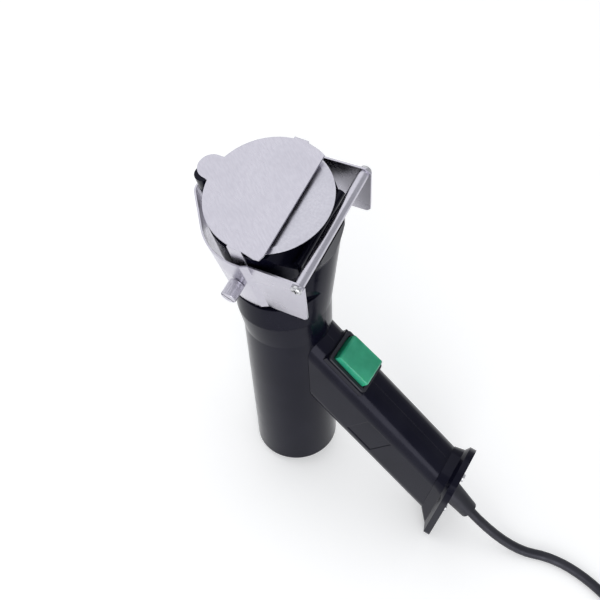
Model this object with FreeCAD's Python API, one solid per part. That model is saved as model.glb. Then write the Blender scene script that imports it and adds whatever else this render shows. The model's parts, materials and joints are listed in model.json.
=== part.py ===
"""Hand-held electric doner (gyros) slicer: motor barrel, angled blade head, gauge and pistol grip.

All sizes are in millimetres. The pieces are modelled in the barrel's frame, where Z runs up the
barrel from its rear face and X points from the barrel towards the grip. STAND then leans the
whole tool onto the table, where it rests on the barrel's rear rim and the heel of the grip.
"""
import FreeCAD, Part
import math
import os
from FreeCAD import Placement, Rotation, Vector

# ---- driving dimensions -------------------------------------------------------------------
BLADE_R = 38.0            # circular blade, 76 mm across
BLADE_T = 1.0
BLADE_HEIGHT = 230.0      # blade centre above the barrel's rear face, along the barrel
BLADE_OFFSET = -5.5       # blade centre from the barrel's axis, away from the grip
HEAD_TILT = 15.0          # blade axis against the barrel's axis, towards the right-hand side
BARREL_R = 28.7
BARREL_WALL = 2.4
SEAM_Z = 147.0            # joint between the barrel and the head housing
HEAD_R = 39.4
SHEET_T = 1.2             # stainless sheet of the gauge
GAUGE_LIFT = 5.0          # how far the gauge is swung up at rest, in degrees
GAUGE_UP = 5.5            # travel from rest to the thinnest slice, in degrees
GRIP_ANGLE = 42.0         # grip axis below the barrel's X direction
GRIP_WIDTH = 33.0
GRIP_DEPTH = 49.0
GRIP_END_X = 125.4        # centre of the grip's end face
GRIP_END_Z = 5.4
END_WIDTH = 46.0          # flared skirt at the grip's end
END_HEIGHT = 77.0
LIP = 4.5                 # thickness of the skirt's outer lip
LEAN = 11.5               # how far the standing tool leans back onto its grip, in degrees
CORD_D = 7.0
CORD_ANGLE = 44.0         # cord exit below the barrel's X direction
PINION_TEETH = 12
GEAR_TEETH = 30
GEAR_R = 8.25
MOTOR_R = 17.0

# ---- sizes worked out from them ------------------------------------------------------------
BARREL_BORE = BARREL_R - BARREL_WALL
COVER_Z = 2.6                              # underside of the cover plate, above the blade
DECK_Z = -4.0                              # top face of the head, below the blade
GEAR_Z = -28.0                             # back face of the blade gear, on the blade axis
PINION_R = GEAR_R * PINION_TEETH / GEAR_TEETH
TILT = math.radians(HEAD_TILT)
PINION_CONE = math.atan(math.sin(TILT) / (GEAR_TEETH / PINION_TEETH + math.cos(TILT)))
GEAR_CONE = TILT - PINION_CONE
CONE_DISTANCE = GEAR_R / math.sin(GEAR_CONE)
APEX_Z = GEAR_Z + CONE_DISTANCE * math.cos(GEAR_CONE)      # where both gear axes meet
MOTOR_Y = -APEX_Z * math.sin(TILT)
PINION_Z = BLADE_HEIGHT + APEX_Z * math.cos(TILT) - CONE_DISTANCE * math.cos(PINION_CONE)

ORIGIN = Vector(0, 0, 0)
X_AXIS = Vector(1, 0, 0)
Y_AXIS = Vector(0, 1, 0)
Z_AXIS = Vector(0, 0, 1)

# ---- frames, each given in the barrel's frame ------------------------------------------------
PIVOT = Vector(-6.0, 0, -34.0)             # gauge pivot line, in the head's frame
HEAD = Placement(Vector(BLADE_OFFSET, 0, BLADE_HEIGHT), Rotation(X_AXIS, HEAD_TILT))
GAUGE = HEAD.multiply(Placement(PIVOT, Rotation(Y_AXIS, -GAUGE_LIFT)))
MOTOR = Placement(Vector(BLADE_OFFSET, MOTOR_Y, 0), Rotation())
GRIP = Placement(Vector(0, 0, 118.3), Rotation(Y_AXIS, GRIP_ANGLE))
LIP_RISE = END_HEIGHT / 2 - 36.0           # the heel stays 36 below the cord exit
GRIP_END = Placement(Vector(GRIP_END_X, 0, GRIP_END_Z), Rotation(Y_AXIS, LEAN))
CORD_EXIT = Placement(Vector(GRIP_END_X, 0, GRIP_END_Z), Rotation(Y_AXIS, CORD_ANGLE))
UPSIDE_DOWN = Placement(ORIGIN, Rotation(X_AXIS, 180))
# the object frame: bottom centre of the standing tool without its cord
STAND = Placement(Vector(-19.154, -8.8, 5.708), Rotation(Y_AXIS, -LEAN))


# ---- small shape helpers --------------------------------------------------------------------
def cylinder(radius, low, high, x=0.0, y=0.0):
    """A cylinder along Z between two heights."""
    return Part.makeCylinder(radius, high - low, Vector(x, y, low), Z_AXIS)


def tube(outer, inner, low, high, x=0.0, y=0.0):
    return cylinder(outer, low, high, x, y).cut(cylinder(inner, low - 1, high + 1, x, y))


def block(x0, x1, y0, y1, z0, z1):
    return Part.makeBox(x1 - x0, y1 - y0, z1 - z0, Vector(x0, y0, z0))


def rod_y(radius, y0, y1, x=0.0, z=0.0):
    """A cylinder along Y; its ends may be given in either order."""
    low, high = min(y0, y1), max(y0, y1)
    return Part.makeCylinder(radius, high - low, Vector(x, low, z), Y_AXIS)


def fuse(shapes):
    return shapes[0].multiFuse(shapes[1:]).removeSplitter()


def place(shape, frame):
    """A copy of a shape, moved from a local frame to the one around it."""
    moved = shape.copy()
    moved.Placement = frame.multiply(moved.Placement)
    return moved


def at(x, y, z):
    return Placement(Vector(x, y, z), Rotation())


def circle_wire(radius, centre, frame=None):
    wire = Part.Wire([Part.Circle(centre, Z_AXIS, radius).toShape()])
    return place(wire, frame) if frame else wire


def polar(radius, degrees, z=0.0):
    angle = math.radians(degrees)
    return Vector(radius * math.cos(angle), radius * math.sin(angle), z)


def prism(points, height, low=0.0):
    """A straight prism: points are (x, y) pairs, extruded along Z from low."""
    corners = [Vector(x, y, low) for x, y in points]
    face = Part.Face(Part.makePolygon(corners + [corners[0]]))
    return face.extrude(Vector(0, 0, height))


def side_prism(points, y0, y1):
    """A prism along Y: points are (x, z) pairs."""
    corners = [Vector(x, y0, z) for x, z in points]
    face = Part.Face(Part.makePolygon(corners + [corners[0]]))
    return face.extrude(Vector(0, y1 - y0, 0))


def rounded_rectangle(width, depth, radius, x=0.0, foot_radius=None):
    """A closed wire in the local YZ plane at x: width along Y, depth along Z."""
    edges = []
    for sign_y, sign_z, start in ((1, 1, 0), (-1, 1, 90), (-1, -1, 180), (1, -1, 270)):
        corner = foot_radius if foot_radius and sign_z < 0 else radius
        centre = Vector(x, sign_y * (width / 2 - corner), sign_z * (depth / 2 - corner))
        turn = [math.radians(start + step) for step in (0, 45, 90)]
        points = [centre + Vector(0, corner * math.cos(a), corner * math.sin(a)) for a in turn]
        if edges:
            edges.append(Part.makeLine(edges[-1].Vertexes[-1].Point, points[0]))
        edges.append(Part.Arc(*points).toShape())
    edges.append(Part.makeLine(edges[-1].Vertexes[-1].Point, edges[0].Vertexes[0].Point))
    return Part.Wire(edges)


def panhead(head_r, head_h, shank_r, shank_length):
    """A cross-head screw along Z: its seat is z = 0, the head above and the shank below."""
    head = Part.makeCylinder(head_r, head_h)
    top_rim = [edge for edge in head.Edges if edge.BoundBox.ZMin > head_h - 0.01]
    head = head.makeFillet(head_h * 0.45, top_rim)
    slot = head_r * 0.6
    bar = head_r * 0.13
    head = head.cut(block(-slot, slot, -bar, bar, head_h * 0.4, head_h + 1))
    head = head.cut(block(-bar, bar, -slot, slot, head_h * 0.4, head_h + 1))
    return fuse([head, cylinder(shank_r, -shank_length, 0.1)])


def bevel_gear(teeth, radius, face_width, gap):
    """A straight bevel gear: big end at z = 0, every line running up to the shared apex."""
    module = 2 * radius / teeth
    pitch = 2 * math.pi / teeth
    flank = 0.25 - gap
    profile = ((-0.32, -1.15), (-flank, 0.0), (-0.10, 0.8), (0.10, 0.8), (flank, 0.0), (0.32, -1.15))
    points = []
    for tooth in range(teeth):
        for share, height in profile:
            angle = (tooth + share) * pitch
            reach = radius + height * module
            points.append(Vector(reach * math.cos(angle), reach * math.sin(angle), 0))
    points.append(points[0])
    shrink = 1 - face_width / CONE_DISTANCE
    small_end = [point * shrink + Vector(0, 0, face_width) for point in points]
    return Part.makeLoft([Part.makePolygon(points), Part.makePolygon(small_end)], True, True)


parts = {}

# ---- barrel, rear cap and the screws that hold them ------------------------------------------
CAP_T = 5.0
BOSS_RING = 23.0
CAP_BOSSES = [polar(BOSS_RING, angle) for angle in (60, 180, 300)]
HEAD_BOSSES = [polar(BOSS_RING, angle) for angle in (-20, 60, 140)]
BOARD_X = 21.0            # half-width of the circuit board
BOARD_LOW = 18.0
BOARD_HIGH = 66.0
WIRE_HOLE_Z = 88.0
FLARE_Z = 129.0           # the barrel widens from here up to the seam
SEAM_R = 30.4
SEAM_X = -1.7
SEAM_CENTRE = Vector(SEAM_X, 0, SEAM_Z)


def motor_barrel():
    flare = Part.makeLoft([circle_wire(BARREL_R, Vector(0, 0, FLARE_Z)),
                           circle_wire(SEAM_R, SEAM_CENTRE)], True, True)
    shell = fuse([cylinder(BARREL_R, CAP_T, FLARE_Z), flare])
    shell = shell.cut(cylinder(BARREL_BORE, CAP_T - 1, SEAM_Z + 1))
    inside = [cylinder(3.8, CAP_T, 24, p.x, p.y) for p in CAP_BOSSES]
    inside += [cylinder(3.8, SEAM_Z - 12, SEAM_Z, p.x, p.y) for p in HEAD_BOSSES]
    for side in (-1, 1):
        inner, outer = side * (BOARD_X - 2), side * (BARREL_BORE + 0.5)
        inside.append(block(min(inner, outer), max(inner, outer), -2.6, 2.6, BOARD_LOW - 3, BOARD_HIGH))
    shell = fuse([shell] + inside)
    shell = shell.cut(block(-BOARD_X - 0.2, BOARD_X + 0.2, -1.0, 1.0, BOARD_LOW, BOARD_HIGH + 1))
    for p in CAP_BOSSES:
        shell = shell.cut(cylinder(1.25, CAP_T - 1, 20, p.x, p.y))
    for p in HEAD_BOSSES:
        shell = shell.cut(cylinder(1.6, SEAM_Z - 13, SEAM_Z + 1, p.x, p.y))
    wire_hole = Part.makeCylinder(5.0, 20, Vector(15, 0, WIRE_HOLE_Z), X_AXIS)
    return shell.cut(wire_hole)


def rear_cap():
    disc = cylinder(BARREL_R, 0, CAP_T)
    rim = [edge for edge in disc.Edges if edge.BoundBox.ZMax < 0.01]
    disc = disc.makeFillet(1.6, rim)
    spigot = tube(BARREL_BORE - 0.1, BARREL_BORE - 2.2, CAP_T - 0.5, CAP_T + 5)
    for p in CAP_BOSSES:
        spigot = spigot.cut(cylinder(4.1, 0, 20, p.x, p.y))
    cap = fuse([disc, spigot])
    for p in CAP_BOSSES:
        cap = cap.cut(cylinder(1.5, -1, 20, p.x, p.y)).cut(cylinder(3.2, -1, 2.4, p.x, p.y))
    for row in range(-3, 4):
        reach = 13.0 - abs(row) * 1.6
        cap = cap.cut(block(-reach, reach, row * 4.4 - 1.0, row * 4.4 + 1.0, -1, CAP_T + 1))
    return cap


parts["motor_barrel"] = motor_barrel()
parts["rear_cap"] = rear_cap()
parts["rear_cap_screws"] = Part.makeCompound(
    [place(panhead(2.8, 1.9, 1.25, 14), at(p.x, p.y, 2.4).multiply(UPSIDE_DOWN)) for p in CAP_BOSSES])
parts["head_screws"] = Part.makeCompound(
    [place(panhead(2.8, 1.9, 1.5, 22), at(p.x, p.y, SEAM_Z - 12).multiply(UPSIDE_DOWN))
     for p in HEAD_BOSSES])

# ---- head housing, in the head's frame: z = 0 is the top face of the blade ------------------------
NECK_Z = -38.0            # where the round head turns into the flared neck
NECK_R = 36.6
CROWN_Z = -30.0
FRONT_X = 36.5            # flat front wall, under the gauge bar
CHUTE_X = 17.0            # the meat chute starts under the cover's straight edge
CHUTE_LOW = -27.0
LEDGE_Z = 154.5           # the motor mount sits under this ledge, in the barrel's frame
POST_X = -44.2            # post that carries the cover's rear lobe
POST_Y = -2.0
POST_R = 5.6
POST_LOW = -22.0
BEARING_TOP = -6.5
BEARING_LOW = -13.5
BRIDGE_TOP = -31.0
BRIDGE_LOW = -38.0
CHAMBER_R = 13.0
BOSS_R = 19.0             # boss around the gear chamber, closed below by the bridge
BRIDGE_SCREWS = [polar(16.0, angle) for angle in (0, 90, 180)]


def gauge_clearance():
    """The space the sheet-metal gauge sweeps around the head; its floor follows the swing."""
    low = PIVOT.z - 24.0
    drop = 54.0 * math.tan(math.radians(GAUGE_LIFT + GAUGE_UP + 1.5))
    sweep = side_prism([(PIVOT.x - 54, low - drop), (PIVOT.x, low), (70, low), (70, 20),
                        (PIVOT.x - 54, 20)], -70, 70)
    return sweep.cut(cylinder(HEAD_R + 0.2, -100, 40))


def head_housing():
    to_head = HEAD.inverse()
    outside = Part.makeLoft([circle_wire(SEAM_R, SEAM_CENTRE, to_head),
                             circle_wire(NECK_R, Vector(0, 0, NECK_Z)),
                             circle_wire(HEAD_R, Vector(0, 0, CROWN_Z)),
                             circle_wire(HEAD_R, Vector(0, 0, DECK_Z))], True, True)
    body = outside.cut(gauge_clearance())
    body = body.cut(block(FRONT_X, 70, -70, 70, -70, 10))
    body = body.cut(side_prism([(CHUTE_X, DECK_Z - 1), (CHUTE_X, 5), (60, 5), (60, CHUTE_LOW),
                                (FRONT_X - 4, CHUTE_LOW)], -60, 60))
    lip = fuse([rod_y(2.8, -27, 27, 29.5, -17), block(27.5, 31.5, -27, 27, -26, -17)])
    post = fuse([cylinder(POST_R, POST_LOW, COVER_Z, POST_X, POST_Y),
                 block(POST_X, -34, POST_Y - 4, POST_Y + 4, POST_LOW, DECK_Z - 2)])
    inside_band = cylinder(42.1, -60, 0)
    pads = [rod_y(7.0, side * 30, side * 43, PIVOT.x, PIVOT.z).common(inside_band) for side in (-1, 1)]
    body = fuse([body, lip, post] + pads)
    # hollow space around the boss, under the deck and behind the chute
    hollow = cylinder(HEAD_R - 3.4, NECK_Z, -10).cut(cylinder(BOSS_R, NECK_Z - 1, 0))
    hollow = hollow.cut(side_prism([(8, -5), (60, -5), (60, -80), (18, -80), (18, -20)], -60, 60))
    for side in (-1, 1):
        hollow = hollow.cut(rod_y(7.0, side * 24, side * 50, PIVOT.x, PIVOT.z))
    room = Part.makeLoft([circle_wire(19.0, Vector(-4, 3, LEDGE_Z - 1), to_head),
                          circle_wire(26.0, Vector(0, 0, NECK_Z + 0.5))], True, True)
    seat = place(cylinder(BARREL_BORE, SEAM_Z - 1, LEDGE_Z), to_head)
    body = body.cut(hollow).cut(room).cut(seat)
    body = body.cut(cylinder(CHAMBER_R, BRIDGE_TOP - 1, BEARING_LOW))
    body = body.cut(cylinder(BOSS_R + 0.1, BRIDGE_LOW - 1, BRIDGE_TOP))
    body = body.cut(cylinder(11.0, BEARING_LOW - 1, BEARING_TOP)).cut(cylinder(6.0, -10, 0))
    body = body.cut(place(cylinder(6.0, 170, 212, BLADE_OFFSET, MOTOR_Y), to_head))
    bosses = [place(cylinder(3.8, SEAM_Z, LEDGE_Z - 0.1, p.x, p.y), to_head) for p in HEAD_BOSSES]
    body = fuse([body] + bosses)
    for p in HEAD_BOSSES:
        body = body.cut(place(cylinder(1.5, SEAM_Z - 1, SEAM_Z + 12, p.x, p.y), to_head))
    for p in BRIDGE_SCREWS:
        body = body.cut(cylinder(1.0, BRIDGE_TOP - 1, BRIDGE_TOP + 7, p.x, p.y))
    for side in (-1, 1):
        body = body.cut(rod_y(3.5, side * 29, side * 43, PIVOT.x, PIVOT.z))
    return body.cut(cylinder(2.1, POST_LOW - 1, COVER_Z + 1, POST_X, POST_Y))


parts["head_housing"] = place(head_housing(), HEAD)

# ---- blade drive, on the blade axis -----------------------------------------------------------
FIT = 0.05                # running gap, on the radius
SPINDLE_R = 4.0
SPINDLE_TOP_R = 2.5


def bearing_bridge():
    disc = cylinder(BOSS_R, BRIDGE_LOW, BRIDGE_TOP)
    disc = disc.cut(cylinder(8.0, BRIDGE_LOW + 1, BRIDGE_TOP + 1))
    disc = disc.cut(cylinder(4.0, BRIDGE_LOW - 1, BRIDGE_TOP))
    shaft_path = place(cylinder(6.5, 170, 212, BLADE_OFFSET, MOTOR_Y), HEAD.inverse())
    disc = disc.cut(shaft_path)
    for p in BRIDGE_SCREWS:
        disc = disc.cut(cylinder(1.3, BRIDGE_LOW - 1, BRIDGE_TOP + 1, p.x, p.y))
    return disc


def ball_bearing(outer, inner, low, high):
    """A sealed bearing drawn as one ring with a shallow groove on each face."""
    ring = tube(outer, inner, low, high)
    middle = (outer + inner) / 2
    for face in (low, high):
        ring = ring.cut(tube(middle + 1.0, middle - 1.0, face - 0.3, face + 0.3))
    return ring


def circular_blade():
    """A thin disc, ground to its edge on top, with a centre hole."""
    bevel = Part.makeCone(BLADE_R - 4.0, BLADE_R, BLADE_T * 0.85, Vector(0, 0, 0), Vector(0, 0, -1))
    core = fuse([cylinder(BLADE_R, -BLADE_T, -BLADE_T * 0.85), bevel])
    return core.cut(cylinder(SPINDLE_TOP_R, -2, 1))


def hexagon(across_flats, low, high):
    corner = across_flats / 2 / math.cos(math.radians(30))
    return prism([(polar(corner, 60 * k).x, polar(corner, 60 * k).y) for k in range(6)], high - low, low)


spindle = fuse([cylinder(2.5, BRIDGE_LOW + 1.2, BRIDGE_TOP + 0.4),
                cylinder(SPINDLE_R, BRIDGE_TOP + 0.4, -3.4),
                cylinder(SPINDLE_TOP_R, -3.4, 2.2)])
hub = fuse([cylinder(10.0, -3.4, -BLADE_T), cylinder(5.4, BEARING_TOP + 0.2, -3.4)])
hub = hub.cut(cylinder(SPINDLE_R, -8, -3.4)).cut(cylinder(SPINDLE_TOP_R, -4, 0))
blade_gear = fuse([place(bevel_gear(GEAR_TEETH, GEAR_R, 8.0, 0.03), at(0, 0, GEAR_Z)),
                   cylinder(6.0, GEAR_Z - 1.5, GEAR_Z)]).cut(cylinder(SPINDLE_R, -40, 0))
on_head = {
    "bearing_bridge": bearing_bridge(),
    "bridge_screws": Part.makeCompound(
        [place(panhead(2.2, 1.6, 1.0, 13), at(p.x, p.y, BRIDGE_LOW).multiply(UPSIDE_DOWN))
         for p in BRIDGE_SCREWS]),
    "upper_bearing": ball_bearing(11.0, SPINDLE_R + FIT, BEARING_LOW, BEARING_TOP),
    "lower_bearing": ball_bearing(8.0, 2.5 + FIT, BRIDGE_LOW + 1, BRIDGE_TOP),
    "blade_spindle": spindle,
    "blade_hub": hub,
    "blade_gear": blade_gear,
    "circular_blade": circular_blade(),
    "blade_nut": hexagon(10.0, 0, 2.0).cut(cylinder(SPINDLE_TOP_R, -1, 3)),
}

# ---- cover plate over the blade ------------------------------------------------------------------
COVER_T = 1.05
COVER_R = 39.4
COVER_CHORD = 17.9
TAB_LOW = -17.0


def tangent_hull(radius_a, x_b, y_b, radius_b):
    """The outline, as a polygon, of the straight flanks around two circles; the first is at the origin."""
    span = math.hypot(x_b, y_b)
    direction = math.atan2(y_b, x_b)
    spread = math.acos((radius_a - radius_b) / span)
    points = []
    for sign, radius, x, y in ((1, radius_a, 0, 0), (1, radius_b, x_b, y_b),
                               (-1, radius_b, x_b, y_b), (-1, radius_a, 0, 0)):
        angle = direction + sign * spread
        points.append((x + radius * math.cos(angle), y + radius * math.sin(angle)))
    return points


def cover_plate():
    low, high = COVER_Z, COVER_Z + COVER_T
    lobe = [cylinder(8.6, low, high, -41.6, 3.5), prism(tangent_hull(13.0, -41.6, 3.5, 8.6), COVER_T, low)]
    ear = prism([(4, -36), (4, -40), (13, -41.6), (16.6, -41.2), (18.4, -36), (10, -30)], COVER_T, low)
    plate = fuse([cylinder(COVER_R, low, high), ear] + lobe)
    plate = plate.cut(block(COVER_CHORD, 60, -60, 60, 0, 10))
    tabs = []
    for side in (-1, 1):
        near, far = side * 39.5, side * 40.5
        tabs.append(block(-5, 4.5, min(near, far), max(near, far), TAB_LOW, high))
        tabs.append(block(-5, 4.5, min(side * 36, far), max(side * 36, far), low, high))
    stud = cylinder(1.9, POST_LOW - 5, high - 0.2, POST_X, POST_Y)
    return fuse([plate, stud] + tabs)


on_head["cover_plate"] = cover_plate()
cover_nut = place(hexagon(7.0, POST_LOW - 3.4, POST_LOW), at(POST_X, POST_Y, 0))
on_head["cover_nut"] = cover_nut.cut(cylinder(1.9, POST_LOW - 6, POST_LOW + 1, POST_X, POST_Y))

# ---- thumb screws that clamp the gauge ---------------------------------------------------------------
PLATE_Y = 43.9            # outer face of the gauge where the thumb screws press
ARM_Y = 42.0              # outer face of the gauge's front arms
SCREW_R = 2.0
SHOULDER_R = 3.0


def thumb_screw(side):
    """A slotted cylindrical head with a fine grip pattern, a shoulder and a threaded end."""
    seat, end = side * (PLATE_Y + 0.05), side * (PLATE_Y + 11.0)
    head = rod_y(5.0, seat, end, PIVOT.x, PIVOT.z)
    rims = [edge for edge in head.Edges if edge.BoundBox.YLength < 0.01]
    head = head.makeFillet(0.7, rims)
    for flute in range(18):
        middle = polar(5.25, flute * 20)
        head = head.cut(rod_y(0.5, side * (PLATE_Y + 3), end + side, PIVOT.x + middle.x, PIVOT.z + middle.y))
    slot = block(PIVOT.x - 6, PIVOT.x + 6, min(end, end - side * 2.0), max(end, end - side * 2.0),
                 PIVOT.z - 0.7, PIVOT.z + 0.7)
    slot.rotate(Vector(PIVOT.x, 0, PIVOT.z), Y_AXIS, 35)
    shoulder = rod_y(SHOULDER_R, side * 42.4, seat + side * 0.5, PIVOT.x, PIVOT.z)
    shank = rod_y(SCREW_R, side * 30, side * 42.6, PIVOT.x, PIVOT.z)
    return fuse([head.cut(slot), shoulder, shank])


on_head["thumb_screw_near"] = thumb_screw(-1)
on_head["thumb_screw_far"] = thumb_screw(1)
on_head["thumb_inserts"] = Part.makeCompound(
    [rod_y(3.5, side * 29, side * 40.8, PIVOT.x, PIVOT.z).cut(
        rod_y(SCREW_R + FIT, side * 28, side * 43, PIVOT.x, PIVOT.z)) for side in (-1, 1)])
for name, shape in on_head.items():
    parts[name] = place(shape, HEAD)

# ---- slice-thickness gauge, in its own frame about the pivot -------------------------------------------
BAND_HALF = 22.9          # half the height of the sheet-metal band
BAND_FRONT = 51.3
BAND_SLANT = 9.0          # the arms' front edge leans back towards its foot
ROD_X = 46.3
ROD_Z = 18.4
ROD_R = 3.3
LOBE_X = -44.8            # the band follows the post at the back of the head
LOBE_R = 8.4


def band_solid(inset):
    """The band's plan as a solid, shrunk by inset on every side."""
    centre_x = -PIVOT.x
    back_r, lobe_r = PLATE_Y - inset, LOBE_R - inset
    plate_y, arm_y = PLATE_Y - inset, ARM_Y - inset
    length = 60 + inset
    flanks = [(x + centre_x, y) for x, y in tangent_hull(back_r, LOBE_X, POST_Y, lobe_r)]
    front = [(centre_x, -plate_y), (centre_x + 3.5, -plate_y), (centre_x + 8.2, -arm_y), (length, -arm_y),
             (length, arm_y), (centre_x + 8.2, arm_y), (centre_x + 3.5, plate_y), (centre_x, plate_y)]
    height = 2 * BAND_HALF
    return fuse([cylinder(back_r, -BAND_HALF, BAND_HALF, centre_x).cut(block(centre_x, 90, -90, 90, -90, 90)),
                 cylinder(lobe_r, -BAND_HALF, BAND_HALF, centre_x + LOBE_X, POST_Y),
                 prism(flanks, height, -BAND_HALF), prism(front, height, -BAND_HALF)])


def gauge_bracket():
    band = band_solid(0).cut(band_solid(SHEET_T))
    foot = BAND_FRONT - BAND_SLANT
    side_view = side_prism([(-70, -BAND_HALF), (foot - 3, -BAND_HALF), (foot, 3 - BAND_HALF),
                            (BAND_FRONT, BAND_HALF - 3), (BAND_FRONT - 3, BAND_HALF),
                            (-70, BAND_HALF)], -60, 60)
    band = band.common(side_view)
    for side in (-1, 1):
        band = band.cut(rod_y(SHOULDER_R + FIT, side * 30, side * 50))
        band = band.cut(rod_y(2.1, side * 30, side * 50, ROD_X, ROD_Z))
    return band


def bar_screw(side):
    screw = place(panhead(3.6, 2.6, SCREW_R, 14), Placement(ORIGIN, Rotation(X_AXIS, -90 * side)))
    return place(screw, at(ROD_X, side * ARM_Y, ROD_Z))


bar = rod_y(ROD_R, SHEET_T - ARM_Y, ARM_Y - SHEET_T, ROD_X, ROD_Z)
for side in (-1, 1):
    bar = bar.cut(rod_y(SCREW_R, side * 27, side * 50, ROD_X, ROD_Z))
parts["gauge_bracket"] = place(gauge_bracket(), GAUGE)
parts["gauge_bar"] = place(bar, GAUGE)
parts["bar_screws"] = place(Part.makeCompound([bar_screw(-1), bar_screw(1)]), GAUGE)

# ---- motor, on its own axis: z is the barrel's height ---------------------------------------------------
CAN_LOW = 90.0
CAN_HIGH = 147.5
FRONT_T = 4.0
MOUNT_T = 2.5
SHAFT_R = 2.5


def slotted_core(radius, low, high, slots):
    core = cylinder(radius, low, high)
    for slot in range(slots):
        p = polar(radius - 2.4, slot * 360 / slots)
        opening = polar(radius, slot * 360 / slots)
        core = core.cut(cylinder(1.9, low - 1, high + 1, p.x, p.y))
        core = core.cut(cylinder(0.9, low - 1, high + 1, opening.x, opening.y))
    return core.cut(cylinder(SHAFT_R, low - 1, high + 1))


def cooling_fan():
    blades = []
    for blade in range(9):
        vane = block(4.5, 15.0, -0.6, 0.6, 80.0, 86.5)
        vane.rotate(ORIGIN, Z_AXIS, blade * 40)
        blades.append(vane)
    disc = cylinder(15.0, 85.5, 86.7)
    return fuse([cylinder(5.0, 79.5, 86.7), disc] + blades).cut(cylinder(SHAFT_R, 70, 90))


def magnets():
    ring = tube(15.5, 12.6, 104, 143)
    return ring.cut(block(-4, 4, -20, 20, 100, 150))


def windings(low, high):
    middle = (low + high) / 2
    ring = Part.makeTorus(8.2, (high - low) / 2, Vector(0, 0, middle))
    return ring


holders = []
brush_pair = []
for side in (-1, 1):
    x0, x1 = side * 7.0, side * 15.0
    holders.append(block(min(x0, x1), max(x0, x1), -3.2, 3.2, 95.1, 101).cut(
        block(-16, 16, -2.0, 2.0, 95.8, 100.2)))
    x0, x1 = side * 5.6, side * 12.0
    brush_pair.append(block(min(x0, x1), max(x0, x1), -1.95, 1.95, 95.85, 100.15))

rear_bell = fuse([tube(15.5, 13.5, CAN_LOW, 95), cylinder(15.5, CAN_LOW, 92), tube(6.5, 4.5, 91, 95)])
on_motor = {
    "motor_can": tube(MOTOR_R, 15.6, CAN_LOW, CAN_HIGH),
    "motor_front_plate": cylinder(MOTOR_R, CAN_HIGH, CAN_HIGH + FRONT_T).cut(cylinder(5.5, 140, 160)),
    "motor_rear_cap": rear_bell.cut(cylinder(4.5, 89, 96)),
    "motor_magnets": magnets(),
    "brush_holders": Part.makeCompound(holders),
    "brushes": Part.makeCompound(brush_pair),
    "motor_bearings": Part.makeCompound([ball_bearing(5.5, SHAFT_R + FIT, CAN_HIGH, CAN_HIGH + FRONT_T),
                                         ball_bearing(4.5, SHAFT_R + FIT, 91, 95)]),
    "rotor_core": slotted_core(12.2, 107, 140, 12),
    "rotor_windings": Part.makeCompound([windings(102.4, 106.9), windings(140.1, 144.6)]),
    "commutator": tube(5.4, SHAFT_R, 95.4, 101.5),
    "cooling_fan": cooling_fan(),
    "motor_shaft": fuse([cylinder(SHAFT_R, 78.5, PINION_Z - 2), cylinder(1.3, PINION_Z - 3, PINION_Z + 8)]),
    "drive_pinion": place(fuse([bevel_gear(PINION_TEETH, PINION_R, 8.0, 0.05), cylinder(2.6, -1.9, 0)]),
                          at(0, 0, PINION_Z)).cut(cylinder(1.3, 190, 220)),
}
for name, shape in on_motor.items():
    parts[name] = place(shape, MOTOR)

mount_low = CAN_HIGH + FRONT_T
mount = cylinder(BARREL_BORE - 0.2, mount_low, mount_low + MOUNT_T).cut(
    cylinder(6.0, 140, 160, BLADE_OFFSET, MOTOR_Y))
for p in HEAD_BOSSES:
    mount = mount.cut(cylinder(4.1, 140, 160, p.x, p.y))
MOUNT_HOLES = [(BLADE_OFFSET + 10, MOTOR_Y), (BLADE_OFFSET - 10, MOTOR_Y)]
LEDGE_HOLES = [(p.x, p.y) for p in (polar(23.0, 20), polar(23.0, 100), polar(23.0, -60))]
mount_screws = []
for x, y in MOUNT_HOLES:
    mount = mount.cut(cylinder(1.5, 140, 160, x, y))
    parts["motor_front_plate"] = parts["motor_front_plate"].cut(cylinder(1.25, 140, 160, x, y))
    mount_screws.append(place(panhead(2.6, 1.8, 1.25, 6), at(x, y, mount_low + MOUNT_T)))
for x, y in LEDGE_HOLES:
    mount = mount.cut(cylinder(1.5, 140, 160, x, y))
    parts["head_housing"] = parts["head_housing"].cut(cylinder(1.0, 150, 158, x, y))
    mount_screws.append(place(panhead(2.2, 1.6, 1.0, 6), at(x, y, mount_low).multiply(UPSIDE_DOWN)))
parts["motor_mount_ring"] = mount
parts["mount_screws"] = Part.makeCompound(mount_screws)

# ---- rectifier board and its wires, behind the motor ----------------------------------------
parts["rectifier_board"] = block(-BOARD_X, BOARD_X, -0.8, 0.8, BOARD_LOW, BOARD_HIGH)
parts["board_parts"] = Part.makeCompound([
    Part.makeCylinder(6.5, 13, Vector(-9, 0.8, 32), Y_AXIS),
    block(3, 15, 0.8, 7, 24, 36),
    block(-4, 12, 0.8, 9.5, 44, 60),
    Part.makeCylinder(4.0, 9, Vector(12, -0.8, 30), -Y_AXIS),
    block(-14, -2, -8, -0.8, 40, 56)])


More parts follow.
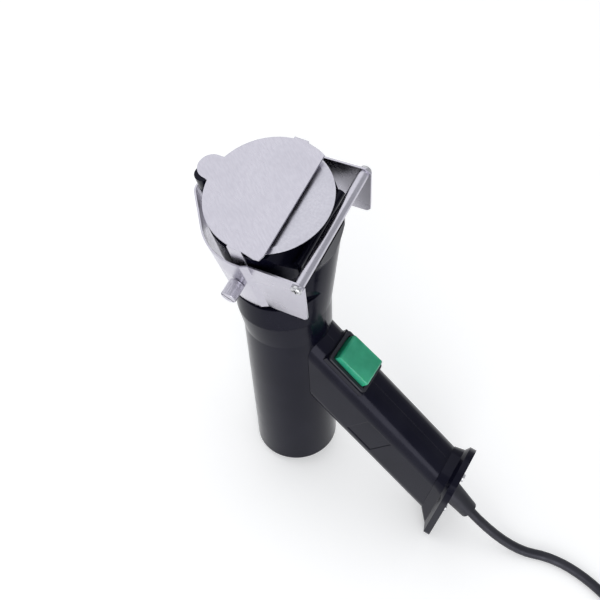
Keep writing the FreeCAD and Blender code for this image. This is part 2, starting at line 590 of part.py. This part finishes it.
def wire(points, radius):
    """A round wire through the given points, each inner corner turned as a tangent arc."""
    edges = []
    start = points[0]
    for before, corner, after in zip(points, points[1:], points[2:]):
        into = (corner - before).normalize()
        out = (after - corner).normalize()
        turn = into.getAngle(out)
        shorter = min((corner - before).Length, (after - corner).Length)
        setback = 0.45 * shorter
        arc_start = corner - into * setback
        arc_end = corner + out * setback
        bend_r = setback / math.tan(turn / 2)
        bisector = (out - into).normalize()
        middle = corner + bisector * (bend_r / math.cos(turn / 2) - bend_r)
        edges.append(Part.LineSegment(start, arc_start).toShape())
        edges.append(Part.Arc(arc_start, middle, arc_end).toShape())
        start = arc_end
        print("bend radius", round(bend_r, 1), "for a wire of diameter", 2 * radius)
    edges.append(Part.LineSegment(start, points[-1]).toShape())
    path = Part.Wire(edges)
    section = Part.Wire([Part.Circle(points[0], points[1] - points[0], radius).toShape()])
    body = path.makePipeShell([section], True, False)
    print("swept volume over section times length",
          round(body.Volume / (path.Length * math.pi * radius ** 2), 4))
    return body


parts["motor_leads"] = Part.makeCompound([
    wire([Vector(8 * side, -3.0, 60), Vector(14 * side, -5, 74), Vector(BLADE_OFFSET + 19.6 * side, -4, 82),
          Vector(BLADE_OFFSET + 19.6 * side, -4, 96)], 0.8) for side in (1, -1)])

# ---- pistol grip, split down its middle -----------------------------------------------------------
GRIP_R = 12.0
GRIP_WALL = 2.6
CAP_DEPTH = 14.0          # length of the flared end, along the table direction
SWITCH_X = 43.5           # middle of the switch along the grip, from the grip frame's origin
BEZEL_LENGTH = 33.7
BEZEL_WIDTH = 26.2
TOP_W = GRIP_DEPTH / 2    # the grip's upper face, in the grip's frame
ROCKER_HALF = 13.0
ROCKER_WIDTH = 20.4
ROCKER_W = 22.0           # pivot of the rocker above the grip's axis
GRIP_SCREWS = [(74, -14), (100, 13), (118, -13)]


def grip_half(side):
    """One moulded half; side is +1 for the +Y half and -1 for the other."""
    outline = rounded_rectangle(GRIP_WIDTH, GRIP_DEPTH, GRIP_R, 10)
    inner = rounded_rectangle(GRIP_WIDTH - 2 * GRIP_WALL, GRIP_DEPTH - 2 * GRIP_WALL, GRIP_R - GRIP_WALL, 10)
    solid = Part.Face(outline).extrude(Vector(185, 0, 0))
    inside = Part.Face(inner).extrude(Vector(185, 0, 0))
    platform = block(SWITCH_X - 17.4, SWITCH_X + 17.4, -13.6, 13.6, 10, TOP_W)
    low, high = min(side * 16.1, side * 25), max(side * 16.1, side * 25)
    finger_rest = block(80, 103, low, high, -12, 12)
    shell = fuse([solid, platform]).cut(inside).cut(finger_rest)
    for x, w in GRIP_SCREWS:
        shell = fuse([shell, rod_y(3.6, 0, side * (GRIP_WIDTH / 2 - 1), x, w)])
    half = shell.common(block(0, 200, min(0, side * 40), max(0, side * 40), -60, 60))
    window = block(SWITCH_X - 15.2, SWITCH_X + 15.2, -12.6, 12.6, 0, TOP_W + 5)
    half = half.cut(window)
    for x, w in GRIP_SCREWS:
        half = half.cut(rod_y(1.45 if side < 0 else 1.7, -side, side * 12, x, w))
        if side > 0:
            half = half.cut(rod_y(1.7, 10, 15, x, w)).cut(rod_y(3.2, 14, 30, x, w))
    half = place(half, GRIP)
    half = half.cut(cylinder(BARREL_R, -50, 200))
    beyond = place(block(-CAP_DEPTH, 100, -60, 60, -90, 90), GRIP_END)
    return half.cut(beyond)


def grip_end_cap():
    """Flared closing piece: the tool stands on its flat heel."""
    slope = math.cos(math.radians(GRIP_ANGLE - LEAN))
    height = GRIP_DEPTH / slope
    rise = CAP_DEPTH * math.tan(math.radians(GRIP_ANGLE - LEAN))
    sections = [rounded_rectangle(GRIP_WIDTH, height, 12.0, -CAP_DEPTH, 12.0),
                rounded_rectangle(END_WIDTH - 8, END_HEIGHT - 8, 16.0, -LIP - 2.5, 9.0),
                rounded_rectangle(END_WIDTH, END_HEIGHT, 20.0, -LIP, 9.0)]
    sections[0].translate(Vector(0, 0, rise))
    sections[1].translate(Vector(0, 0, LIP_RISE + 1.0))
    sections[2].translate(Vector(0, 0, LIP_RISE))
    flare = Part.makeLoft(sections, True, True)
    plate = Part.Face(sections[2]).extrude(Vector(LIP, 0, 0))
    inner = [rounded_rectangle(GRIP_WIDTH - 6, height - 9, 9.0, -CAP_DEPTH - 1),
             rounded_rectangle(GRIP_WIDTH - 3, height - 6, 9.0, -4.0)]
    inner[0].translate(Vector(0, 0, rise))
    hollow = Part.makeLoft(inner, True, True)
    cap = place(fuse([flare, plate]).cut(hollow), GRIP_END)
    bore = Part.makeCylinder(6.0, 60, Vector(-30, 0, 0), X_AXIS)
    cap = cap.cut(place(bore, CORD_EXIT))
    for z in (-24.5, 24.5):
        cap = cap.cut(place(Part.makeCylinder(1.5, 20, Vector(-12, 0, z), X_AXIS), GRIP_END))
    return cap


parts["grip_left"] = grip_half(1)
parts["grip_right"] = grip_half(-1)
parts["grip_end_cap"] = grip_end_cap()
parts["grip_screws"] = place(Part.makeCompound(
    [place(panhead(2.9, 2.0, 1.45, 22), Placement(Vector(x, 14.0, w), Rotation(X_AXIS, -90)))
     for x, w in GRIP_SCREWS]), GRIP)
parts["end_cap_screws"] = place(Part.makeCompound(
    [place(panhead(2.8, 1.9, 1.45, 6), Placement(Vector(0, 0, z), Rotation(Y_AXIS, 90)))
     for z in (-24.5, 24.5)]), GRIP_END)


# ---- rocker switch -----------------------------------------------------------------------------------
def switch_parts():
    bezel = Part.Face(rounded_rectangle(BEZEL_WIDTH, BEZEL_LENGTH, 2.5)).extrude(Vector(2.0, 0, 0))
    bezel.rotate(ORIGIN, Y_AXIS, -90)
    bezel = place(bezel, at(SWITCH_X, 0, TOP_W))
    mouth = block(SWITCH_X - 14.3, SWITCH_X + 14.3, -10.7, 10.7, TOP_W - 9, TOP_W + 5)
    pin_hole = rod_y(1.5 + FIT, -12, 12, SWITCH_X, ROCKER_W)
    body = block(SWITCH_X - 15.0, SWITCH_X + 15.0, -12.4, 12.4, 0, TOP_W)
    body = body.cut(mouth).cut(pin_hole)
    terminals = [block(SWITCH_X + x - 0.4, SWITCH_X + x + 0.4, y - 2.4, y + 2.4, -5, 0)
                 for x in (3, 11) for y in (-6.5, 6.5)]
    profile = [(-ROCKER_HALF, -3.4), (0, -5.6), (ROCKER_HALF, -3.4), (ROCKER_HALF, 10.2),
               (ROCKER_HALF - 1, 11.0), (-ROCKER_HALF + 1, 9.4), (-ROCKER_HALF, 8.6)]
    half = ROCKER_WIDTH / 2
    rocker = side_prism([(SWITCH_X + x, ROCKER_W + w) for x, w in profile], -half, half)
    rocker = fuse([rocker, rod_y(1.5, -11.6, 11.6, SWITCH_X, ROCKER_W)])
    return bezel.cut(mouth), body, Part.makeCompound(terminals), rocker


bezel, body, terminals, rocker = switch_parts()
parts["switch_bezel"] = place(bezel, GRIP)
parts["switch_body"] = place(body, GRIP).cut(cylinder(BARREL_R, -50, 200))
parts["switch_terminals"] = place(terminals, GRIP)
parts["switch_rocker"] = place(rocker, GRIP)

# ---- strain relief, cord, coil and plug: the cord is given in the object's frame ------------
RELIEF_LENGTH = 18.0
RELIEF_TIP_R = 6.4
CORD_R = CORD_D / 2
TURN_R = 48.0             # outermost turn of the coil, at the middle of the cord
TURN_PITCH = 7.2
LAYER_TURNS = 3           # turns in each of the coil's two layers
COIL_R = TURN_R + CORD_R
COIL_INNER = TURN_R - LAYER_TURNS * TURN_PITCH - CORD_R
COIL_HEIGHT = CORD_D + 7.1
COIL_CENTRE = Vector(312.25, 3.0, 0)
PLUG_X = 360.25            # the plug lies beside the coil, pointing along +Y
PLUG_Y = 42.0
TAIL_Y = 19.8
PLUG_Z = 7.0


def strain_relief():
    cone = Part.makeCone(8.0, RELIEF_TIP_R, RELIEF_LENGTH + 6, Vector(-6, 0, 0), X_AXIS)
    cone = place(cone, CORD_EXIT).cut(place(block(-60, 0, -60, 60, -60, 60), GRIP_END))
    neck = place(Part.makeCylinder(5.9, 22, Vector(-16, 0, 0), X_AXIS), CORD_EXIT)
    collar = place(Part.makeCylinder(8.0, 3, Vector(-19, 0, 0), X_AXIS), CORD_EXIT)
    return fuse([cone, neck, collar])


exit_point = STAND.multiply(CORD_EXIT).multVec(Vector(RELIEF_LENGTH, 0, 0))
print("cord leaves the strain relief at", [round(v, 2) for v in exit_point])
ROUTE = [exit_point, Vector(153.64, -8.8, CORD_R), Vector(193.25, 7.0, CORD_R),
         Vector(243.25, -4.2, CORD_R), Vector(269.45, -24.6, CORD_R)]


def cord_coil():
    coil = tube(COIL_R, COIL_INNER, 0, COIL_HEIGHT)
    rims = [edge for edge in coil.Edges if edge.BoundBox.ZLength < 0.01]
    return place(coil.makeFillet(CORD_R * 0.9, rims), at(COIL_CENTRE.x, COIL_CENTRE.y, 0))


plug_frame = Placement(Vector(PLUG_X, PLUG_Y + 18.0, PLUG_Z), Rotation(Z_AXIS, 90))
plug_body = fuse([Part.Face(rounded_rectangle(26, 14, 6)).extrude(Vector(28, 0, 0)),
                  Part.makeCone(5.5, 4.5, 18, ORIGIN, -X_AXIS)])
pins = [Part.makeCylinder(2.0, 19, Vector(28, 9.5 * side, 0), X_AXIS) for side in (-1, 1)]
on_table = {
    "mains_cord": wire(ROUTE, CORD_R),
    "cord_coil": cord_coil(),
    "cord_tail": Part.makeCylinder(CORD_R, PLUG_Y - TAIL_Y, Vector(PLUG_X, TAIL_Y, PLUG_Z), Y_AXIS),
    "plug_body": place(plug_body, plug_frame),
    "plug_pins": place(Part.makeCompound(pins), plug_frame),
}
mean_turn = 2 * math.pi * (TURN_R - LAYER_TURNS * TURN_PITCH / 2)
print("the coil holds about", round(2 * LAYER_TURNS * mean_turn), "mm of cord")
parts["strain_relief"] = strain_relief()
inside_wires = []
for side in (-1, 1):
    inside_wires.append(wire([Vector(SWITCH_X + 11, 6.5 * side, -6), Vector(SWITCH_X + 26, 5 * side, -7),
                              Vector(SWITCH_X + 54, 3 * side, 0)], 1.0))
parts["cord_cores"] = place(Part.makeCompound(inside_wires), GRIP)

# ---- write every piece in the object's frame -------------------------------------------------
for name, shape in parts.items():
    on_table[name] = place(shape, STAND)
os.makedirs("parts", exist_ok=True)
for name in sorted(on_table):
    on_table[name].exportStep("parts/" + name + ".step")
    if not on_table[name].isValid():
        print("invalid shape:", name)

tool = [on_table[name] for name in parts]
bounds = FreeCAD.BoundBox()
for shape in tool:
    bounds.add(shape.optimalBoundingBox(False))
print("tool bounds", bounds)
places = (("blade_spin", HEAD, ORIGIN, Z_AXIS),
          ("rotor_spin", MOTOR, Vector(0, 0, 120), Z_AXIS),
          ("gauge_swing", GAUGE, ORIGIN, Y_AXIS),
          ("thumb_near", HEAD, PIVOT - Vector(0, PLATE_Y, 0), Y_AXIS),
          ("thumb_far", HEAD, PIVOT + Vector(0, PLATE_Y, 0), Y_AXIS),
          ("rocker", GRIP, Vector(SWITCH_X, 0, ROCKER_W), Y_AXIS),
          ("rear_face", Placement(), Vector(24, 0, 0), -Z_AXIS))
for label, frame, point, axis in places:
    whole = STAND.multiply(frame)
    position = whole.multVec(point)
    direction = whole.Rotation.multVec(axis)
    print(label, [round(v, 3) for v in position], [round(v, 6) for v in direction])
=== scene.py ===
"""Visual model of a hand-held electric doner slicer: materials, cord, floor, light and camera."""

import json
import math

import bpy
from mathutils import Matrix, Vector


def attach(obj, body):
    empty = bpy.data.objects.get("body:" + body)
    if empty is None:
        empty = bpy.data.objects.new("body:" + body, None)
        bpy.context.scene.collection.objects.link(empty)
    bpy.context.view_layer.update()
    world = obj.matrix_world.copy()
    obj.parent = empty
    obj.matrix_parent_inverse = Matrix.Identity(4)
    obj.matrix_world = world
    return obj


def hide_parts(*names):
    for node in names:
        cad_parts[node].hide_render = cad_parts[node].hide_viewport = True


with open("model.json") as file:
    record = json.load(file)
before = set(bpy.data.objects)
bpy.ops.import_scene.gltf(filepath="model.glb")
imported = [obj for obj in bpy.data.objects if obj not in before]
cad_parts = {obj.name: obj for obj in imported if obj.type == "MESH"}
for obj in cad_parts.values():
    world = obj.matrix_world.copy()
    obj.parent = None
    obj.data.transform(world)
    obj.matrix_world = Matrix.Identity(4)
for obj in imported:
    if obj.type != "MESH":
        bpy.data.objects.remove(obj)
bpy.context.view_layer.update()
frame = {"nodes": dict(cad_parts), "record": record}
scene = bpy.context.scene
MM = 0.001


# ---- material building blocks -------------------------------------------------------------
def new_material(name):
    material = bpy.data.materials.new(name)
    material.use_nodes = True
    tree = material.node_tree
    return material, tree, tree.nodes["Principled BSDF"]


def ramp(tree, source, low, high, start=0.35, end=0.65):
    """Turns a 0..1 texture value into one between two colours or grey levels."""
    node = tree.nodes.new("ShaderNodeValToRGB")
    node.color_ramp.elements[0].position = start
    node.color_ramp.elements[1].position = end
    node.color_ramp.elements[0].color = (*low, 1)
    node.color_ramp.elements[1].color = (*high, 1)
    tree.links.new(source, node.inputs[0])
    return node.outputs[0]


def noise(tree, scale, detail=4.0, stretch=(1, 1, 1)):
    """Noise on the piece's own coordinates, in metres, so that it stays put when the piece moves."""
    place = tree.nodes.new("ShaderNodeTexCoord")
    mapping = tree.nodes.new("ShaderNodeMapping")
    mapping.inputs["Scale"].default_value = stretch
    texture = tree.nodes.new("ShaderNodeTexNoise")
    texture.inputs["Scale"].default_value = scale
    texture.inputs["Detail"].default_value = detail
    tree.links.new(place.outputs["Object"], mapping.inputs["Vector"])
    tree.links.new(mapping.outputs[0], texture.inputs["Vector"])
    return texture.outputs[0]


def grey(level):
    return (level, level, level)


def add_relief(tree, shader, source, strength, distance, edge=0.0):
    """Bump from a texture, over slightly rounded edges."""
    bump = tree.nodes.new("ShaderNodeBump")
    bump.inputs["Strength"].default_value = strength
    bump.inputs["Distance"].default_value = distance
    tree.links.new(source, bump.inputs["Height"])
    if edge:
        bevel = tree.nodes.new("ShaderNodeBevel")
        bevel.samples = 4
        bevel.inputs["Radius"].default_value = edge
        tree.links.new(bevel.outputs[0], bump.inputs["Normal"])
    tree.links.new(bump.outputs[0], shader.inputs["Normal"])


def plastic(name, dark, light, rough, grain=900.0, relief=0.06, edge=0.0005, gloss=0.5):
    """Moulded plastic: a fine skin, faint cloudiness and handling marks in the roughness."""
    material, tree, shader = new_material(name)
    cloud = noise(tree, 45.0, 3.0)
    tree.links.new(ramp(tree, cloud, dark, light), shader.inputs["Base Color"])
    marks = noise(tree, 130.0, 8.0)
    tree.links.new(ramp(tree, marks, grey(rough * 0.8), grey(rough * 1.35)), shader.inputs["Roughness"])
    add_relief(tree, shader, noise(tree, grain, 2.0), relief, 0.0002, edge)
    shader.inputs["Specular IOR Level"].default_value = gloss
    shader.inputs["Specular Tint"].default_value = (0.82, 0.82, 1.0, 1)
    return material


def metal(name, dark, light, rough, stretch=(1, 1, 1), grain=260.0, relief=0.08, edge=0.0003):
    """Metal with a brushed grain when stretch is uneven, and smudges that change its roughness."""
    material, tree, shader = new_material(name)
    shader.inputs["Metallic"].default_value = 1.0
    lines = noise(tree, grain, 6.0, stretch)
    tree.links.new(ramp(tree, lines, dark, light), shader.inputs["Base Color"])
    smudge = noise(tree, 38.0, 5.0)
    tree.links.new(ramp(tree, smudge, grey(rough * 0.75), grey(rough * 1.4)), shader.inputs["Roughness"])
    add_relief(tree, shader, lines, relief, 0.0002, edge)
    return material


# ---- materials -------------------------------------------------------------------------------
looks = {
    "black_plastic": plastic("black_plastic", (0.002, 0.002, 0.007), (0.005, 0.005, 0.011), 0.16, gloss=0.16),
    "switch_black": plastic("switch_black", (0.008, 0.008, 0.010), (0.016, 0.016, 0.019), 0.35, relief=0.12),
    "cord_rubber": plastic("cord_rubber", (0.009, 0.009, 0.011), (0.018, 0.018, 0.021), 0.42, relief=0.15),
    "grey_plastic": plastic("grey_plastic", (0.22, 0.22, 0.23), (0.29, 0.29, 0.30), 0.5),
    "board_green": plastic("board_green", (0.05, 0.20, 0.09), (0.07, 0.27, 0.13), 0.4),
    "wire_red": plastic("wire_red", (0.36, 0.03, 0.03), (0.46, 0.05, 0.04), 0.45),
    "stainless_sheet": metal("stainless_sheet", (0.53, 0.515, 0.58), (0.58, 0.565, 0.63), 0.26,
                             (1, 1, 14), 240.0, 0.02),
    "blade_steel": metal("blade_steel", (0.51, 0.50, 0.56), (0.57, 0.56, 0.62), 0.26, (1, 1, 1), 700.0, 0.02),
    "screw_steel": metal("screw_steel", (0.50, 0.50, 0.52), (0.66, 0.66, 0.68), 0.25),
    "bearing_steel": metal("bearing_steel", (0.55, 0.55, 0.57), (0.68, 0.68, 0.70), 0.16),
    "cast_alloy": metal("cast_alloy", (0.45, 0.45, 0.47), (0.58, 0.58, 0.60), 0.45, relief=0.3),
    "motor_steel": metal("motor_steel", (0.38, 0.38, 0.40), (0.48, 0.48, 0.50), 0.4),
    "magnet": plastic("magnet", (0.03, 0.03, 0.03), (0.06, 0.06, 0.06), 0.5, relief=0.3),
    "brass": metal("brass", (0.60, 0.42, 0.16), (0.75, 0.56, 0.26), 0.3),
    "copper": metal("copper", (0.60, 0.26, 0.12), (0.75, 0.38, 0.20), 0.3, (1, 1, 8)),
    "pin_nickel": metal("pin_nickel", (0.62, 0.61, 0.58), (0.74, 0.73, 0.70), 0.18),
}


def lit_green():
    """Translucent green rocker moulding."""
    material, tree, shader = new_material("rocker_green")
    depth = noise(tree, 60.0, 3.0)
    tree.links.new(ramp(tree, depth, (0.02, 0.36, 0.20), (0.05, 0.50, 0.30)), shader.inputs["Base Color"])
    marks = noise(tree, 220.0, 6.0)
    tree.links.new(ramp(tree, marks, grey(0.10), grey(0.22)), shader.inputs["Roughness"])
    add_relief(tree, shader, noise(tree, 700.0, 2.0), 0.05, 0.0002, 0.0005)
    shader.inputs["Transmission Weight"].default_value = 0.25
    shader.inputs["Subsurface Weight"].default_value = 0.4
    shader.inputs["Subsurface Radius"].default_value = (0.001, 0.004, 0.002)
    shader.inputs["Subsurface Scale"].default_value = 1.0
    return material


looks["rocker_green"] = lit_green()
slot_of = {part["node"]: part["material_slot"] for part in frame["record"]["subparts"]}
for node, piece in frame["nodes"].items():
    material = looks[slot_of[node]]
    if not piece.material_slots:
        piece.data.materials.append(material)
    for slot in piece.material_slots:
        slot.material = material

# ---- mains cord: one line from the strain relief, through the coil, to the plug ----------------
CORD_R = 3.5
TURN_R = 48.0
TURN_PITCH = 7.2
LAYER_RISE = 7.1          # how far the upper layer of turns lies above the lower one
COIL_CENTRE = (312.25, 3.0)
PLUG_X = 360.25
PLUG_Y = 42.0
TAIL_Y = 19.8
PLUG_Z = 7.0
STEPS = 16                # control points per turn of the coil
START_TURN = 232.2        # where the cord runs into the coil, in degrees
LAYER_TURNS = 3
LIFT_TURNS = 0.355        # the part of a turn in which the cord climbs to the upper layer


def coil_points():
    """Three turns inwards on the table, a climb, and three turns outwards on top of them."""
    total = 2 * LAYER_TURNS + LIFT_TURNS
    count = round(total * STEPS)
    points = []
    for step in range(count + 1):
        turns = total * step / count
        inward = min(turns, LAYER_TURNS)
        outward = max(0.0, turns - LAYER_TURNS - LIFT_TURNS)
        climb = min(1.0, max(0.0, (turns - LAYER_TURNS) / LIFT_TURNS))
        radius = TURN_R - TURN_PITCH * (inward - outward)
        angle = math.radians(START_TURN) + 2 * math.pi * turns
        x = COIL_CENTRE[0] + radius * math.cos(angle)
        y = COIL_CENTRE[1] + radius * math.sin(angle)
        points.append((x, y, CORD_R + LAYER_RISE * climb))
    return points


route = [(117.836, -8.8, 26.33), (153.64, -8.8, CORD_R), (193.25, 7.0, CORD_R), (243.25, -4.2, CORD_R)]
route += coil_points()
route += [(PLUG_X, TAIL_Y, 9.6), (PLUG_X, TAIL_Y + 12.0, PLUG_Z), (PLUG_X, PLUG_Y, PLUG_Z)]


def cord_curve(name, points):
    curve = bpy.data.curves.new(name, "CURVE")
    curve.dimensions = "3D"
    spline = curve.splines.new("NURBS")
    spline.points.add(len(points) - 1)
    for target, point in zip(spline.points, points):
        target.co = (*[value * MM for value in point], 1)
    spline.order_u = 3
    spline.use_endpoint_u = True
    spline.resolution_u = 8
    curve.bevel_depth = CORD_R * MM
    curve.bevel_resolution = 6
    curve.use_fill_caps = True
    piece = bpy.data.objects.new(name, curve)
    scene.collection.objects.link(piece)
    piece.data.materials.append(looks["cord_rubber"])
    return piece


cord = cord_curve("cord", route)
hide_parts("mains_cord", "cord_coil", "cord_tail")
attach(cord, "root")

# ---- floor, lights and camera -------------------------------------------------------------------
bpy.ops.mesh.primitive_plane_add(size=12.0, location=(0, 0, 0))
floor = bpy.context.object
floor.name = "floor"
floor_look, tree, shader = new_material("floor_white")
tree.links.new(ramp(tree, noise(tree, 3.0), grey(0.86), grey(0.89)), shader.inputs["Base Color"])
tree.links.new(ramp(tree, noise(tree, 30.0), grey(0.55), grey(0.65)), shader.inputs["Roughness"])
floor.data.materials.append(floor_look)
shader.inputs["Emission Color"].default_value = (1.0, 1.0, 1.0, 1)
shader.inputs["Emission Strength"].default_value = 0.3

world = bpy.data.worlds.new("studio")
scene.world = world
world.use_nodes = True
world.node_tree.nodes["Background"].inputs["Color"].default_value = (0.95, 0.97, 1.0, 1)
world.node_tree.nodes["Background"].inputs["Strength"].default_value = 0.55


def softbox(name, place, aim, size, power):
    """A square area light at place, in metres, turned to the point aim."""
    data = bpy.data.lights.new(name, "AREA")
    data.energy = power
    data.size = size
    light = bpy.data.objects.new(name, data)
    light.location = place
    light.rotation_euler = (Vector(aim) - Vector(place)).to_track_quat("-Z", "Y").to_euler()
    scene.collection.objects.link(light)


softbox("large_light", (-0.84, 0.23, 1.25), (0, 0, 0.2), 2.4, 11)
softbox("front_light", (0.7, -1.3, 0.6), (0, 0, 0.1), 1.1, 12)

CAMERA_PLACE = Vector((0.0873, -0.3543, 0.6577))
CAMERA_AIM = Vector((-0.2019, 0.553, -0.8085))
CAMERA_ROLL = 12.5
camera_data = bpy.data.cameras.new("camera")
camera_data.sensor_width = 36.0
camera_data.lens = 59.475
camera_data.clip_start = 0.01
camera = bpy.data.objects.new("camera", camera_data)
turn = CAMERA_AIM.to_track_quat("-Z", "Y").to_matrix() @ Matrix.Rotation(math.radians(CAMERA_ROLL), 3, "Z")
camera.matrix_world = Matrix.Translation(CAMERA_PLACE) @ turn.to_4x4()
scene.collection.objects.link(camera)
scene.camera = camera
scene.view_settings.view_transform = "Standard"
